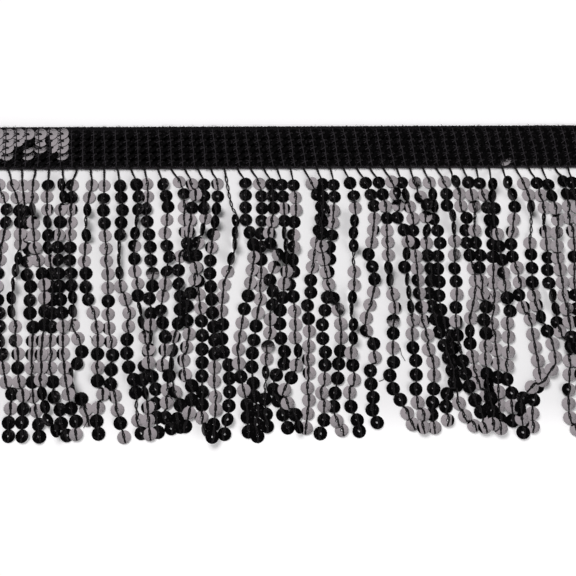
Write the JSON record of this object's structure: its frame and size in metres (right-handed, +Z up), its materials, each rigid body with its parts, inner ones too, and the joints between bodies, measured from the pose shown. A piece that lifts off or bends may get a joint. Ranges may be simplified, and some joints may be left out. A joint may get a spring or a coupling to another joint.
{
  "type": "sequin fringe trim",
  "caption": "Cut length of black sequin fringe: a narrow tape heading faced with overlapped sequins and a comb of loose chain-stitched sequin strands on a corded lower edge.",
  "frame": {"origin": "middle of the underside of the heading tape, on the surface the trim lies on", "axes": "+X along the trim to the right, +Y from the fringe up to the top edge of the heading, +Z up through the sequin face"},
  "size_m": [0.303, 0.1516, 0.0061],
  "materials": {
    "tape": "black warp-knitted polyester tape, matt",
    "heading_sequins": "cupped sequins of glossy black plastic film, stitched down in overlapped rows",
    "fringe_sequins": "cupped sequins of glossy black plastic film, each held by a black chain stitch"
  },
  "bodies": {
    "root": {"heading_tape": "tape", "heading_sequins": "heading_sequins", "fringe": "fringe_sequins"}
  },
  "joints": []
}
